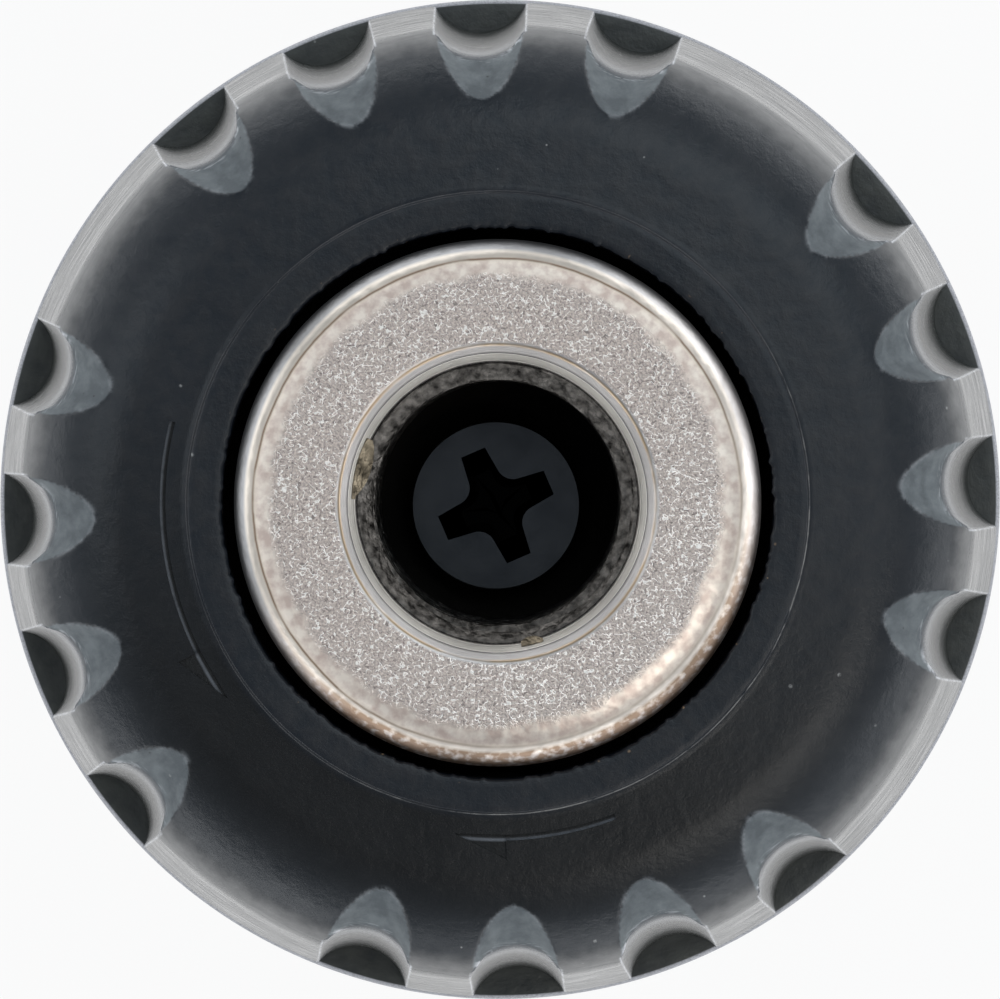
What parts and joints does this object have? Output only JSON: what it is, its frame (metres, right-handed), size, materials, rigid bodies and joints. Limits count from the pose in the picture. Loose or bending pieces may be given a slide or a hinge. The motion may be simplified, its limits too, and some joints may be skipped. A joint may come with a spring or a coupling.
{
  "type": "drill chuck",
  "caption": "Keyless two-sleeve drill chuck with fluted sleeves, a threaded spindle socket with a retaining screw, and self-centring jaws driven by a split nut.",
  "frame": {"origin": "centre of the tail face, where the chuck meets the spindle", "axes": "+Z along the chuck axis, out of the tail towards the machine; the nose points to -Z"},
  "size_m": [0.036, 0.036, 0.056],
  "materials": {
    "body_steel": "nickel plated, sand-blasted tail face",
    "black_screw": "black oxide",
    "rear_plastic": "satin moulded, near black",
    "front_plastic": "satin moulded, near black",
    "cap_steel": "turned",
    "race_steel": "ground",
    "nut_steel": "hardened, oiled",
    "band_steel": "turned",
    "cage_brass": "stamped",
    "ball_steel": "polished",
    "jaw_steel": "hardened, ground"
  },
  "bodies": {
    "body": {"chuck_body": "body_steel", "retaining_screw": "black_screw", "rear_sleeve": "rear_plastic", "nose_cap": "cap_steel", "rear_race": "race_steel"},
    "front": {"front_sleeve": "front_plastic", "nut_half_a": "nut_steel", "nut_half_b": "nut_steel", "nut_band": "band_steel", "front_race": "race_steel"},
    "cage": {"ball_cage": "cage_brass", "ball_01": "ball_steel", "ball_02": "ball_steel", "ball_03": "ball_steel", "ball_04": "ball_steel", "ball_05": "ball_steel", "ball_06": "ball_steel", "ball_07": "ball_steel", "ball_08": "ball_steel", "ball_09": "ball_steel", "ball_10": "ball_steel", "ball_11": "ball_steel", "ball_12": "ball_steel", "ball_13": "ball_steel", "ball_14": "ball_steel", "ball_15": "ball_steel", "ball_16": "ball_steel", "ball_17": "ball_steel", "ball_18": "ball_steel"},
    "jaw_1": {"jaw_1": "jaw_steel"},
    "jaw_2": {"jaw_2": "jaw_steel"},
    "jaw_3": {"jaw_3": "jaw_steel"}
  },
  "joints": [
    {"name": "front_sleeve_turn", "type": "hinge", "parent": "body", "child": "front", "pos_m": [0, 0, -0.03], "axis": [0, 0, 1], "range_deg": [0, 4500]},
    {"name": "cage_turn", "type": "hinge", "parent": "body", "child": "cage", "pos_m": [0, 0, -0.029], "axis": [0, 0, 1], "range_deg": [-1, 2251]},
    {"name": "jaw_1_slide", "type": "slide", "parent": "body", "child": "jaw_1", "axis": [-0.2241, -0.1294, -0.9659], "range_m": [-0.00002, 0.01877]},
    {"name": "jaw_2_slide", "type": "slide", "parent": "body", "child": "jaw_2", "axis": [0.2241, -0.1294, -0.9659], "range_m": [-0.00002, 0.01877]},
    {"name": "jaw_3_slide", "type": "slide", "parent": "body", "child": "jaw_3", "axis": [0, 0.2588, -0.9659], "range_m": [-0.00002, 0.01877]}
  ],
  "couplings": [
    {"joint": "cage_turn", "follows": "front_sleeve_turn", "ratio": 0.5},
    {"joint": "jaw_1_slide", "follows": "front_sleeve_turn", "m_per_rad": 0.00023873},
    {"joint": "jaw_2_slide", "follows": "front_sleeve_turn", "m_per_rad": 0.00023873},
    {"joint": "jaw_3_slide", "follows": "front_sleeve_turn", "m_per_rad": 0.00023873}
  ]
}
